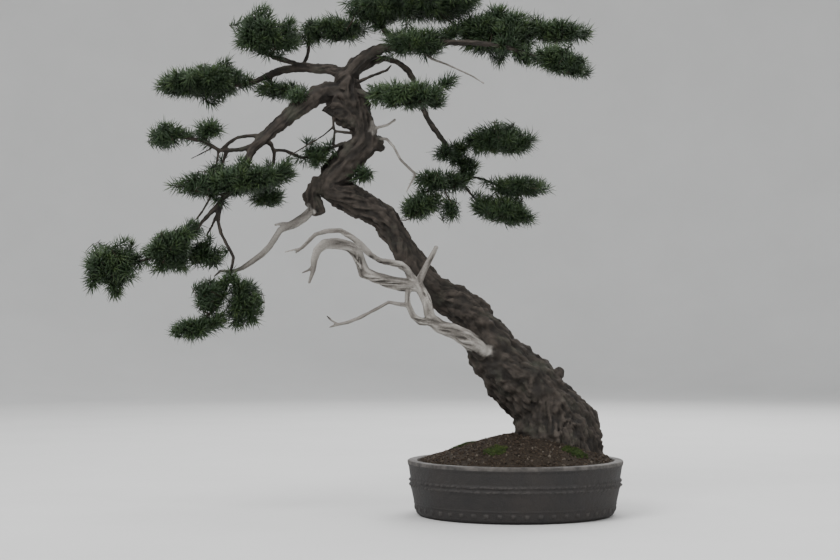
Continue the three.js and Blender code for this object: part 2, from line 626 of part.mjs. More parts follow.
const soilRoom = soilSolid(restGap * 1.3);
for (let i = 0; i < moss.count; i += 1) {
  addPiece(`moss_patch_${i + 1}`, mossSolid(i).subtract(soilRoom).subtract(woodRoom), colours.moss);
}

let taken = woodRoom;
for (const [name, cloud] of Object.entries(clouds)) {
  addPiece(`foliage_${name}`, cloudSolid(cloud, 0).subtract(taken), colours.needles);
  taken = taken.add(cloudSolid(cloud, restGap * 1.5));
}

export default tree;
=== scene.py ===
"""A slanting conifer bonsai in a low round clay pot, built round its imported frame.

Metres, +Z up. The wood is refined from its CAD solid, each foliage cloud fills its own CAD solid
with needled shoots, and the pot, soil and moss take their sizes from their nodes' boxes.
"""
import math

import bmesh
import bpy
import numpy as np
from mathutils import Matrix, Vector, noise
from mathutils.bvhtree import BVHTree
from mathutils.kdtree import KDTree


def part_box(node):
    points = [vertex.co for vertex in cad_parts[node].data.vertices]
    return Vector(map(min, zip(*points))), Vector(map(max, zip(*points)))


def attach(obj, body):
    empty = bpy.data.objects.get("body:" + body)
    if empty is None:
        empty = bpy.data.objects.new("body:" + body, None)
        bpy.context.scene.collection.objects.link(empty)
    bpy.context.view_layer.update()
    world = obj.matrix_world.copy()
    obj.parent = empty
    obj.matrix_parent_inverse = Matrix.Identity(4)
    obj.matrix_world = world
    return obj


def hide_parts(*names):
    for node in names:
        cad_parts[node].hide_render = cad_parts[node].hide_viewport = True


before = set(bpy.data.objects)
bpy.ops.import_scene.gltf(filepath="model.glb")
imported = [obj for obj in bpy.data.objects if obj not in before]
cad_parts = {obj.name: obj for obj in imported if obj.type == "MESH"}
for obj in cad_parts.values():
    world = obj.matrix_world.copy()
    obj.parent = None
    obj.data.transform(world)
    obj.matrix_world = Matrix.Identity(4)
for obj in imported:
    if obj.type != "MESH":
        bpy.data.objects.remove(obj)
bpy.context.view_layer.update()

MM = 0.001
GOLDEN = math.pi * (3 - math.sqrt(5))


# ---- Mesh helpers ----

def emptied(mesh):
    """A bmesh's corners and faces as arrays. The bmesh is freed."""
    mesh.verts.index_update()
    corners = np.array([v.co[:] for v in mesh.verts])
    faces = np.array([[v.index for v in f.verts] for f in mesh.faces])
    mesh.free()
    return corners, faces


def node_mesh(name):
    """A CAD node's corners and triangles in the row frame, with shared corners merged."""
    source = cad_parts[name]
    mesh = bmesh.new()
    mesh.from_mesh(source.data)
    bmesh.ops.transform(mesh, matrix=source.matrix_world, verts=mesh.verts)
    bmesh.ops.remove_doubles(mesh, verts=mesh.verts, dist=1e-6)
    bmesh.ops.triangulate(mesh, faces=mesh.faces)
    return emptied(mesh)


def node_tree(name):
    corners, faces = node_mesh(name)
    return BVHTree.FromPolygons(corners.tolist(), faces.tolist())


def new_object(name, corners, faces, materials, groups=None, values=None, smooth=True):
    """A mesh object from arrays. groups gives each face's material, values each corner's numbers."""
    corners = np.ascontiguousarray(corners, dtype=np.float32)
    faces = np.ascontiguousarray(faces, dtype=np.int32)
    mesh = bpy.data.meshes.new(name)
    sides = faces.shape[1]
    mesh.vertices.add(len(corners))
    mesh.vertices.foreach_set("co", corners.ravel())
    mesh.loops.add(faces.size)
    mesh.loops.foreach_set("vertex_index", faces.ravel())
    mesh.polygons.add(len(faces))
    mesh.polygons.foreach_set("loop_start", np.arange(len(faces), dtype=np.int32) * sides)
    if groups is not None:
        mesh.polygons.foreach_set("material_index", np.ascontiguousarray(groups, dtype=np.int32))
    mesh.update(calc_edges=True)
    mesh.polygons.foreach_set("use_smooth", np.full(len(faces), smooth))
    for key, column in (values or {}).items():
        layer = mesh.attributes.new(key, "FLOAT", "POINT")
        layer.data.foreach_set("value", np.ascontiguousarray(column, dtype=np.float32))
    for material in materials:
        mesh.materials.append(material)
    thing = bpy.data.objects.new(name, mesh)
    bpy.context.scene.collection.objects.link(thing)
    return thing


def evaluated_mesh(thing):
    """The mesh that an object's modifiers make."""
    graph = bpy.context.evaluated_depsgraph_get()
    return bpy.data.meshes.new_from_object(thing.evaluated_get(graph))


def applied(thing):
    finished = evaluated_mesh(thing)
    thing.modifiers.clear()
    thing.data = finished


def modified(corners, faces, kind, settings):
    """Arrays passed through one Blender modifier."""
    thing = new_object("work", corners, faces, [])
    modifier = thing.modifiers.new(kind, kind)
    for key, value in settings.items():
        setattr(modifier, key, value)
    mesh = evaluated_mesh(thing)
    bpy.data.objects.remove(thing)
    mesh.calc_loop_triangles()
    corners = np.empty(len(mesh.vertices) * 3, dtype=np.float32)
    mesh.vertices.foreach_get("co", corners)
    faces = np.empty(len(mesh.loop_triangles) * 3, dtype=np.int32)
    mesh.loop_triangles.foreach_get("vertices", faces)
    bpy.data.meshes.remove(mesh)
    return corners.reshape(-1, 3).astype(float), faces.reshape(-1, 3)


def largest_part(corners, faces):
    """Drops loose crumbs and keeps the biggest connected body."""
    mark = np.arange(len(corners))
    edges = np.concatenate([faces[:, [0, 1]], faces[:, [1, 2]], faces[:, [2, 0]]])
    while True:
        low = np.minimum(mark[edges[:, 0]], mark[edges[:, 1]])
        fresh = mark.copy()
        np.minimum.at(fresh, edges[:, 0], low)
        np.minimum.at(fresh, edges[:, 1], low)
        fresh = fresh[fresh]
        if np.array_equal(fresh, mark):
            break
        mark = fresh
    names, counts = np.unique(mark[faces[:, 0]], return_counts=True)
    kept = faces[mark[faces[:, 0]] == names[np.argmax(counts)]]
    used, flat = np.unique(kept, return_inverse=True)
    return corners[used], flat.reshape(-1, 3)


def normals_of(corners, faces):
    a, b, c = (corners[faces[:, i]] for i in range(3))
    across = np.cross(b - a, c - a)
    total = np.zeros_like(corners)
    for i in range(3):
        np.add.at(total, faces[:, i], across)
    return total / np.maximum(np.linalg.norm(total, axis=1, keepdims=True), 1e-12)


def edges_of(faces):
    pairs = np.concatenate([faces[:, [0, 1]], faces[:, [1, 2]], faces[:, [2, 0]]])
    return np.unique(np.sort(pairs, axis=1), axis=0)


def spread(values, edges, weights, rounds):
    """Averages each corner's value with its neighbours', again and again."""
    count = len(values)
    both = np.concatenate([edges[:, 0], edges[:, 1]])
    other = np.concatenate([edges[:, 1], edges[:, 0]])
    pull = np.concatenate([weights, weights])
    total = np.bincount(both, weights=pull, minlength=count) + 1e-9
    flat = values.reshape(count, -1).astype(float)
    for _ in range(rounds):
        for k in range(flat.shape[1]):
            near = np.bincount(both, weights=pull * flat[other, k], minlength=count) / total
            flat[:, k] = 0.5 * flat[:, k] + 0.5 * near
    return flat.reshape(values.shape)


def joined(parts):
    """Several (corners, faces) as one."""
    corners, faces, start = [], [], 0
    for part_corners, part_faces in parts:
        corners.append(part_corners)
        faces.append(part_faces + start)
        start += len(part_corners)
    return np.concatenate(corners), np.concatenate(faces)


def ring_at(radius, height, angles):
    return np.column_stack([radius * np.cos(angles), radius * np.sin(angles), np.full(len(angles), height)])


def band(lower, upper, sectors):
    """Triangles between two rings, given by the numbers of their first corners."""
    i = np.arange(sectors)
    j = (i + 1) % sectors
    return np.concatenate([
        np.stack([lower + i, lower + j, upper + j], axis=1),
        np.stack([lower + i, upper + j, upper + i], axis=1),
    ])


def fan(centre, ring, sectors):
    """Triangles from one corner out to a ring."""
    i = np.arange(sectors)
    return np.stack([np.full(sectors, centre), ring + i, ring + (i + 1) % sectors], axis=1)


def flipped(faces):
    return faces[:, [0, 2, 1]]


def copies(faces, corners_each, count):
    """One small mesh's triangles for many copies of its corners."""
    return (np.arange(count)[:, None, None] * corners_each + faces[None]).reshape(-1, 3)


def nodes_named(start):
    """The CAD nodes whose names begin so, in order."""
    return sorted(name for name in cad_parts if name.startswith(start))


def finish_piece(piece, node):
    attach(piece, "root")
    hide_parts(node)


def noise_at(points, size, seed=0.0):
    """Smooth noise about 0, with bumps about as wide as size."""
    shift = Vector((seed * 3.1, seed * 7.7, seed * 1.3))
    return np.array([noise.noise(Vector(p) / size + shift) for p in points])


def plates_at(points, size, seed=0.0):
    """0 along the cracks between irregular plates, 1 in the middle of each."""
    shift = Vector((seed * 3.1, seed * 7.7, seed * 1.3))
    out = np.empty(len(points))
    for i, point in enumerate(points):
        near = noise.voronoi(Vector(point) / size + shift)[0]
        out[i] = near[1] - near[0]
    return np.clip(out * 2.2, 0, 1)


# ---- Material helpers ----

class Look:
    """A Principled material that is put together from named nodes."""

    def __init__(self, name, roughness, specular=0.5):
        self.material = bpy.data.materials.new(name)
        self.material.use_nodes = True
        self.tree = self.material.node_tree
        self.shader = self.tree.nodes["Principled BSDF"]
        self.shader.inputs["Roughness"].default_value = roughness
        self.shader.inputs["Specular IOR Level"].default_value = specular
        self.place = self.tree.nodes.new("ShaderNodeTexCoord").outputs["Object"]

    def value(self, name):
        node = self.tree.nodes.new("ShaderNodeAttribute")
        node.attribute_name = name
        return node.outputs["Fac"]

    def noise(self, scale, detail=4.0, roughness=0.6):
        node = self.tree.nodes.new("ShaderNodeTexNoise")
        node.inputs["Scale"].default_value = scale
        node.inputs["Detail"].default_value = detail
        node.inputs["Roughness"].default_value = roughness
        self.tree.links.new(self.place, node.inputs["Vector"])
        return node.outputs["Fac"]

    def cells(self, scale):
        node = self.tree.nodes.new("ShaderNodeTexVoronoi")
        node.inputs["Scale"].default_value = scale
        self.tree.links.new(self.place, node.inputs["Vector"])
        return node.outputs["Distance"]

    def ramp(self, source, *stops):
        """Colours at places along a 0 to 1 value."""
        node = self.tree.nodes.new("ShaderNodeValToRGB")
        while len(node.color_ramp.elements) < len(stops):
            node.color_ramp.elements.new(0.5)
        for element, (at, colour) in zip(node.color_ramp.elements, stops):
            element.position = at
            element.color = (*colour, 1.0)
        self.tree.links.new(source, node.inputs["Fac"])
        return node.outputs["Color"]

    def span(self, source, low, high, out_low=0.0, out_high=1.0):
        node = self.tree.nodes.new("ShaderNodeMapRange")
        node.inputs["From Min"].default_value = low
        node.inputs["From Max"].default_value = high
        node.inputs["To Min"].default_value = out_low
        node.inputs["To Max"].default_value = out_high
        self.tree.links.new(source, node.inputs["Value"])
        return node.outputs["Result"]

    def mix(self, share, first, second):
        node = self.tree.nodes.new("ShaderNodeMix")
        node.data_type = "RGBA"
        self.connect(share, node.inputs["Factor"])
        self.connect(first, node.inputs["A"])
        self.connect(second, node.inputs["B"])
        return node.outputs["Result"]

    def maths(self, operation, first, second):
        node = self.tree.nodes.new("ShaderNodeMath")
        node.operation = operation
        self.connect(first, node.inputs[0])
        self.connect(second, node.inputs[1])
        return node.outputs["Value"]

    def connect(self, source, socket):
        if isinstance(source, bpy.types.NodeSocket):
            self.tree.links.new(source, socket)
        elif isinstance(source, tuple):
            socket.default_value = (*source, 1.0)
        else:
            socket.default_value = source

    def set(self, socket, source):
        self.connect(source, self.shader.inputs[socket])

    def mottle(self, scale, detail, dark, pale, low=0.3, high=0.7):
        """A base colour that wanders between two, in patches that are finer the larger the scale."""
        self.set("Base Color", self.ramp(self.noise(scale, detail), (low, dark), (high, pale)))

    def bump(self, height, distance):
        node = self.tree.nodes.new("ShaderNodeBump")
        node.inputs["Distance"].default_value = distance
        self.tree.links.new(height, node.inputs["Height"])
        self.tree.links.new(node.outputs["Normal"], self.shader.inputs["Normal"])


def wood_look():
    """Dark plated bark on the living wood and grey weathered wood where the bark has gone."""
    look = Look("bark_and_deadwood", 0.85, 0.3)
    mottle = look.noise(90)
    bark = look.ramp(
        look.value("crack"),
        (0.0, (0.003, 0.002, 0.002)),
        (0.4, (0.014, 0.011, 0.008)),
        (0.75, (0.040, 0.031, 0.025)),
        (1.0, (0.066, 0.054, 0.044)),
    )
    ash = look.ramp(mottle, (0.35, (0.016, 0.013, 0.011)), (0.7, (0.070, 0.062, 0.053)))
    living = look.mix(0.3, bark, ash)
    living = look.mix(look.span(look.noise(22), 0.55, 0.72, 0.0, 0.35), living, (0.075, 0.082, 0.060))
    streak = look.maths("ADD", look.value("grain"), look.span(look.noise(420, 3), 0.3, 0.7, -0.12, 0.12))
    pale = look.ramp(
        streak,
        (0.05, (0.045, 0.040, 0.035)),
        (0.38, (0.140, 0.128, 0.115)),
        (0.62, (0.225, 0.210, 0.190)),
        (0.95, (0.345, 0.328, 0.302)),
    )
    stain = look.span(look.noise(30), 0.45, 0.75, 0.0, 0.5)
    pale = look.mix(stain, pale, (0.120, 0.110, 0.098))
    look.set("Base Color", look.mix(look.value("bare"), living, pale))
    look.set("Roughness", look.span(mottle, 0.3, 0.7, 0.72, 0.95))
    fine = look.maths("ADD", look.noise(700, 5), look.maths("MULTIPLY", look.cells(260), 0.6))
    look.bump(fine, 0.0006)
    return look.material


def twig_look():
    look = Look("twig", 0.8, 0.3)
    look.mottle(300, 4, (0.020, 0.014, 0.010), (0.062, 0.042, 0.028), low=0.35)
    look.bump(look.noise(1500), 0.0003)
    return look.material


def needle_look():
    """Dark green needles that differ a little from shoot to shoot and are paler at the young tips."""
    look = Look("needle", 0.5, 0.45)
    tone = look.value("tone")
    old = look.ramp(
        tone,
        (0.0, (0.012, 0.026, 0.010)),
        (0.5, (0.022, 0.046, 0.016)),
        (1.0, (0.042, 0.076, 0.024)),
    )
    young = look.ramp(tone, (0.0, (0.030, 0.058, 0.018)), (1.0, (0.075, 0.115, 0.034)))
    colour = look.mix(look.value("young"), old, young)
    colour = look.mix(look.span(look.noise(35), 0.6, 0.8, 0.0, 0.4), colour, (0.045, 0.050, 0.020))
    look.set("Base Color", colour)
    look.set("Roughness", look.span(look.noise(500), 0.3, 0.7, 0.42, 0.62))
    return look.material


def clay_look():
    """Unglazed, nearly black clay, paler along its edges from a painted highlight and from rubbed wear."""
    look = Look("clay", 0.7, 0.4)
    speck = look.noise(800, 6, 0.7)
    cloud = look.noise(18, 5)
    base = look.ramp(cloud, (0.3, (0.012, 0.011, 0.011)), (0.7, (0.030, 0.026, 0.024)))
    base = look.mix(look.span(speck, 0.56, 0.72, 0.0, 0.5), base, (0.062, 0.054, 0.048))
    # Painted highlight and rubbed wear: the clay is drawn paler in patches along its marked edges.
    patchy = look.span(look.noise(70, 5), 0.35, 0.65, 0.15, 1.0)
    patchy_highlight_and_wear = look.maths("MULTIPLY", look.value("highlight_and_wear"), patchy)
    look.set("Base Color", look.mix(patchy_highlight_and_wear, base, (0.105, 0.096, 0.088)))
    look.set("Roughness", look.span(cloud, 0.3, 0.7, 0.58, 0.82))
    uneven = look.maths("MULTIPLY", look.noise(90, 4), 2.0)
    look.bump(look.maths("ADD", look.noise(450, 6, 0.7), uneven), 0.0008)
    return look.material


def soil_look():
    look = Look("soil", 0.95, 0.2)
    look.mottle(600, 5, (0.012, 0.009, 0.006), (0.038, 0.028, 0.020))
    look.bump(look.noise(1200, 5), 0.0010)
    return look.material


def grain_look():
    """Baked clay and pumice grains, from dark brown to grey-buff."""
    look = Look("soil_grain", 0.9, 0.25)
    colour = look.ramp(
        look.value("tone"),
        (0.0, (0.014, 0.010, 0.007)),
        (0.55, (0.044, 0.031, 0.021)),
        (0.85, (0.075, 0.058, 0.042)),
        (1.0, (0.130, 0.112, 0.092)),
    )
    dust = look.span(look.noise(900), 0.4, 0.7, 0.0, 0.5)
    look.set("Base Color", look.mix(dust, colour, (0.030, 0.022, 0.016)))
    look.bump(look.noise(2500, 4), 0.0004)
    return look.material


def moss_look():
    look = Look("moss", 0.9, 0.2)
    tone = look.maths("ADD", look.value("tone"), look.span(look.noise(160), 0.3, 0.7, -0.25, 0.25))
    colour = look.ramp(
        tone,
        (0.0, (0.012, 0.020, 0.006)),
        (0.5, (0.036, 0.058, 0.014)),
        (1.0, (0.095, 0.120, 0.030)),
    )
    look.set("Base Color", colour)
    look.bump(look.noise(1400, 5), 0.0008)
    return look.material


def plastic_look():
    look = Look("screen_plastic", 0.5, 0.5)
    look.mottle(400, 4, (0.018, 0.026, 0.018), (0.030, 0.042, 0.028))
    look.bump(look.noise(3000), 0.0001)
    return look.material


def wire_look():
    look = Look("wire_metal", 0.42, 0.5)
    look.shader.inputs["Metallic"].default_value = 0.85
    look.mottle(250, 4, (0.140, 0.085, 0.050), (0.240, 0.160, 0.105))
    look.bump(look.noise(4000), 0.00005)
    return look.material


# ---- Camera, light and floor ----

def make_camera():
    """A long lens about 3.3 m in front of the pot and a third of a metre up, left of its middle."""
    camera = bpy.data.cameras.new("camera")
    camera.sensor_width = 36
    camera.lens = 81.9
    camera.clip_end = 60
    thing = bpy.data.objects.new("camera", camera)
    thing.location = (-0.166, -3.342, 0.353)
    thing.rotation_euler = (math.radians(90.96), 0, 0)
    bpy.context.scene.collection.objects.link(thing)
    bpy.context.scene.camera = thing


def soft_lamp(name, place, target, size, power):
    lamp = bpy.data.lights.new(name, "AREA")
    lamp.size = size
    lamp.energy = power
    thing = bpy.data.objects.new(name, lamp)
    thing.location = place
    thing.rotation_euler = (Vector(target) - Vector(place)).to_track_quat("-Z", "Y").to_euler()
    thing.visible_camera = False
    bpy.context.scene.collection.objects.link(thing)


def make_studio():
    """A pale round room: a floor that turns up into a wall all round, and soft lamps."""
    flat, bend, wall = 4.5, 1.8, 7.0
    profile = [(1.5, 0.0), (flat, 0.0)]
    profile += arc(flat, bend, bend, -90, 0, 12)[1:]
    profile.append((flat + bend, wall))
    sectors = 96
    angles = 2 * np.pi * np.arange(sectors) / sectors
    corners = np.concatenate([[(0.0, 0.0, 0.0)], *(ring_at(r, z, angles) for r, z in profile)])
    starts = 1 + sectors * np.arange(len(profile))
    faces = np.concatenate([fan(0, 1, sectors), *(
        flipped(band(a, b, sectors)) for a, b in zip(starts[:-1], starts[1:])
    )])
    look = Look("studio_floor", 0.9, 0.2)
    look.mottle(3, 4, (0.60, 0.60, 0.595), (0.63, 0.63, 0.625))
    room = new_object("studio_floor", corners, faces, [look.material])
    middle = (-0.28, 0, 0.5)
    soft_lamp("key_lamp", (-2.2, -2.6, 3.0), middle, 2.0, 150)
    soft_lamp("fill_lamp", (2.8, -2.0, 1.6), middle, 2.4, 55)
    soft_lamp("back_lamp", (0.8, 3.0, 2.6), middle, 2.4, 110)
    soft_lamp("top_lamp", (-0.3, 0.2, 4.2), middle, 3.0, 80)
    world = bpy.data.worlds.new("studio_air")
    world.use_nodes = True
    world.node_tree.nodes["Background"].inputs["Color"].default_value = (0.86, 0.88, 0.90, 1)
    world.node_tree.nodes["Background"].inputs["Strength"].default_value = 0.8
    bpy.context.scene.world = world


# ---- Wood ----

WOOD = "trunk_and_branches"
WOOD_VOXEL = 1.55 * MM
ROOT_VOXEL = 4 * MM
THIN_WOOD = 5 * MM          # limbs thinner than this are fattened a little before the remesh
SOIL_CUT = 10 * MM          # below the pot's rim, where the wood is parted from its buried roots
WOOD_FACES = 190_000

# The bare bleached limbs, each as a line through its middle with a reach round it.
BARE_LIMBS = [
    ([(-0.048, -0.052, 0.286), (-0.105, -0.056, 0.314)], 0.013),
    ([(-0.085, -0.054, 0.304), (-0.110, -0.056, 0.318), (-0.150, -0.050, 0.350),
      (-0.170, -0.048, 0.400)], 0.021),
    ([(-0.170, -0.048, 0.400), (-0.262, -0.062, 0.422), (-0.290, -0.076, 0.466),
      (-0.345, -0.086, 0.452), (-0.355, -0.086, 0.400)], 0.020),
    ([(-0.170, -0.048, 0.400), (-0.200, -0.062, 0.438), (-0.265, -0.095, 0.468),
      (-0.322, -0.112, 0.492), (-0.400, -0.122, 0.452)], 0.014),
    ([(-0.130, -0.052, 0.330), (-0.176, -0.062, 0.346), (-0.186, -0.060, 0.400)], 0.014),
    ([(-0.168, -0.046, 0.400), (-0.136, -0.042, 0.472)], 0.012),
    ([(-0.186, -0.060, 0.366), (-0.236, -0.076, 0.362), (-0.325, -0.100, 0.326)], 0.012),
    ([(-0.366, 0.002, 0.524), (-0.400, -0.018, 0.502), (-0.428, -0.024, 0.462),
      (-0.486, -0.034, 0.424), (-0.524, -0.044, 0.412)], 0.015),
    ([(-0.225, -0.016, 0.658), (-0.200, -0.026, 0.620), (-0.172, -0.030, 0.590),
      (-0.190, -0.024, 0.560)], 0.009),
    ([(-0.255, -0.004, 0.672), (-0.205, -0.020, 0.690)], 0.008),
    ([(-0.150, -0.030, 0.800), (-0.100, -0.040, 0.774), (-0.052, -0.046, 0.746)], 0.007),
]


def distance_to_line(points, line):
    best = np.full(len(points), 1e9)
    for start, end in zip(line[:-1], line[1:]):
        start, end = np.array(start), np.array(end)
        way = end - start
        share = np.clip((points - start) @ way / (way @ way), 0, 1)
        best = np.minimum(best, np.linalg.norm(points - (start + share[:, None] * way), axis=1))
    return best


def bareness(points):
    """1 on the bare bleached limbs and 0 on bark, with a ragged border between."""
    ragged = noise_at(points, 9 * MM, 4) * 6 * MM
    bare = np.zeros(len(points))
    for line, reach in BARE_LIMBS:
        gap = distance_to_line(points, line) + ragged
        bare = np.maximum(bare, np.clip((reach + 3 * MM - gap) / (3 * MM), 0, 1))
    return bare


def thickness_at(points, normals, tree, most):
    """About the limb's radius at each surface point, from a ray through the wood."""
    out = np.empty(len(points))
    for i, (point, normal) in enumerate(zip(points, normals)):
        inward = -Vector(normal)
        hit = tree.ray_cast(Vector(point) + inward * 2e-5, inward)
        out[i] = min(hit[3] / 2, most) if hit[3] is not None else most
    return out


def halved(corners, faces):
    """The same surface with every edge halved."""
    return modified(corners, faces, "SUBSURF", {"subdivision_type": "SIMPLE", "levels": 1})


def remeshed(corners, faces, voxel):
    """One even closed skin without its loose crumbs."""
    return largest_part(*modified(corners, faces, "REMESH", {"mode": "VOXEL", "voxel_size": voxel}))


def limb_axes(corners, faces):
    """Points over the coarse wood, each with the direction its limb runs in and its radius."""
    fine, fine_faces = halved(corners, faces)
    a, b, c = (fine[fine_faces[:, i]] for i in range(3))
    across = np.cross(b - a, c - a)
    area = np.linalg.norm(across, axis=1) / 2
    middle = (a + b + c) / 3
    face_normal = across / np.maximum(area[:, None] * 2, 1e-15)
    tree = BVHTree.FromPolygons(corners.tolist(), faces.tolist())
    radius = thickness_at(middle, face_normal, tree, 60 * MM)
    # The limb runs in the one direction that the faces near a point never look in.
    looks = (face_normal[:, :, None] * face_normal[:, None, :]).reshape(-1, 9) * area[:, None]
    looks = looks.astype(np.float32)
    places = middle.astype(np.float32)
    squares = (places ** 2).sum(axis=1)
    reach = np.maximum(radius * 1.6, 4 * MM).astype(np.float32)
    axes = np.empty_like(middle)
    for start in range(0, len(middle), 2000):
        block = slice(start, start + 2000)
        gap = squares[block, None] + squares[None, :] - 2 * places[block] @ places.T
        weight = np.exp(-gap / (reach[block, None] ** 2))
        tensor = (weight @ looks).reshape(-1, 3, 3)
        axes[block] = np.linalg.eigh(tensor.astype(float))[1][:, :, 0]
    return middle, axes, radius


def nearest_values(points, places, *tables):
    finder = KDTree(len(places))
    for i, place in enumerate(places):
        finder.insert(place, i)
    finder.balance()
    nearest = np.array([finder.find(point)[1] for point in points])
    return [table[nearest] for table in tables]


def cut_at(corners, faces, height, keep_above):
    """A closed mesh cut level at one height, with the cut filled."""
    thing = new_object("work", corners, faces, [])
    mesh = bmesh.new()
    mesh.from_mesh(thing.data)
    bpy.data.objects.remove(thing)
    cut = bmesh.ops.bisect_plane(
        mesh, geom=mesh.verts[:] + mesh.edges[:] + mesh.faces[:], plane_co=(0, 0, height),
        plane_no=(0, 0, 1), clear_inner=keep_above, clear_outer=not keep_above,
    )
    rim = [e for e in cut["geom_cut"] if isinstance(e, bmesh.types.BMEdge)]
    bmesh.ops.holes_fill(mesh, edges=rim, sides=0)
    bmesh.ops.triangulate(mesh, faces=mesh.faces)
    return emptied(mesh)


def standard(values):
    return (values - values.mean()) / values.std()


def bark_plates(skin, edges, along, radius):
    """0 in the furrows to 1 on the plates of bark, which are long on thick wood and fine on thin."""
    wide = spread(noise_at(skin, 8.5 * MM, 12), edges, along, 110)
    wide = np.clip(wide / wide.std() * 1.1 + 0.95, 0, 1)
    fine = spread(noise_at(skin, 4 * MM, 13), edges, along, 50)
    fine = np.clip(fine / fine.std() * 0.9 + 0.8, 0, 1)
    share = np.clip((radius - 9 * MM) / (12 * MM), 0, 1)
    plate = share * (wide * 0.68 + fine * 0.32) + (1 - share) * fine
    return plate * (0.62 + 0.38 * plates_at(skin, 14 * MM, 1))


def bark_relief(skin, plate, streak, radius):
    """How far the living bark stands out of the plain limb."""
    small = np.clip(radius / (45 * MM), 0.03, 1)
    swell = noise_at(skin, 32 * MM, 5) * 6.0 * MM + noise_at(skin, 13 * MM, 6) * 5.0 * MM
    bark = swell * np.clip(small * 1.25, 0, 1)
    bark += noise_at(skin, 8 * MM, 9) * np.clip(radius * 0.28, 0, 1.6 * MM)
    bark += (plate - 0.6) * np.clip(small * 9 * MM, 0.3 * MM, 5.0 * MM)
    return bark + np.clip(streak, -2, 2) * np.clip(small * 1.2 * MM, 0.12 * MM, 0.6 * MM)


def dry_relief(skin, groove, streak, radius):
    """How far the bare grooved wood stands out of the plain limb."""
    dry = np.clip(groove, -2.2, 2.2) * np.clip(radius * 0.09, 0.1 * MM, 0.9 * MM)
    dry += np.clip(streak, -2, 2) * np.clip(radius * 0.03, 0.05 * MM, 0.25 * MM)
    return dry + noise_at(skin, 20 * MM, 8) * np.clip(radius * 0.2, 0, 1.6 * MM)


def make_wood(look):
    """The wood above and below the soil. Returns the living limbs' points, directions and radii."""
    coarse, coarse_faces = node_mesh(WOOD)
    sample_at, sample_axis, sample_radius = limb_axes(coarse, coarse_faces)
    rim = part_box("pot")[1].z
    above, above_faces = cut_at(coarse, coarse_faces, rim - SOIL_CUT, True)

    fat, fat_faces = halved(above, above_faces)
    fat_radius, = nearest_values(fat, sample_at, sample_radius)
    extra = np.clip((THIN_WOOD - fat_radius) / THIN_WOOD, 0, 1) * 0.5 * MM
    fat = fat + normals_of(fat, fat_faces) * extra[:, None]
    skin, skin_faces = remeshed(fat, fat_faces, WOOD_VOXEL)

    axis, radius = nearest_values(skin, sample_at, sample_axis, sample_radius)
    edges = edges_of(skin_faces)
    even = np.ones(len(edges))
    radius = spread(radius, edges, even, 12)
    skin = spread(skin, edges, even, 3)
    normals = normals_of(skin, skin_faces)

    way = skin[edges[:, 1]] - skin[edges[:, 0]]
    way /= np.maximum(np.linalg.norm(way, axis=1, keepdims=True), 1e-12)
    along = np.abs(np.einsum("ij,ij->i", way, axis[edges[:, 0]])) ** 12 + 1e-4
    dice = np.random.default_rng(11)
    streak = standard(spread(dice.random(len(skin)), edges, along, 60))
    groove = standard(spread(dice.random(len(skin)), edges, along, 160))

    bare = bareness(skin)
    plate = bark_plates(skin, edges, along, radius)
    height = bark_relief(skin, plate, streak, radius) * (1 - bare)
    height += dry_relief(skin, groove, streak, radius) * bare
    skin = skin + normals * height[:, None]

    values = {
        "bare": bare,
        "crack": np.clip(plate * 0.8 + 0.1 * np.clip(streak, -2, 2) + 0.1, 0, 1),
        "grain": np.clip(0.5 + 0.16 * streak + 0.14 * groove, 0, 1),
    }
    piece = new_object("living_and_bare_wood", skin, skin_faces, [look], values=values)
    if len(skin_faces) > WOOD_FACES:
        thin = piece.modifiers.new("thin", "DECIMATE")
        thin.ratio = WOOD_FACES / len(skin_faces)
        applied(piece)
    finish_piece(piece, WOOD)

    below, below_faces = cut_at(coarse, coarse_faces, rim - SOIL_CUT, False)
    roots, root_faces = remeshed(below, below_faces, ROOT_VOXEL)
    edges = edges_of(root_faces)
    roots = spread(roots, edges, np.ones(len(edges)), 2)
    blank = np.zeros(len(roots))
    ball = new_object(
        "buried_roots", roots, root_faces, [look],
        values={"bare": blank, "crack": plates_at(roots, 8 * MM, 3), "grain": blank + 0.5},
    )
    finish_piece(ball, WOOD)
    living = bareness(sample_at) < 0.05
    return sample_at[living], sample_axis[living], sample_radius[living]


# ---- Foliage ----

SHOOT_LENGTH = (22 * MM, 40 * MM)
NEEDLE_LENGTH = (17 * MM, 25 * MM)
NEEDLE_WIDTH = 2.1 * MM
NEEDLE_PITCH = 0.62 * MM    # along the shoot from one needle to the next
LEAST_NEEDLES = 24          # on the shortest shoot
NEEDLE_CORNERS = 7
EDGE_ROOM = 13 * MM         # from a shoot's tip out to the cloud's skin, in a thick cloud
FRINGE = 14 * MM            # how far the boldest needles may stand out of the cloud's skin
STRAY_REACH = 11 * MM       # how far from a cloud single shoots still stand on the limbs

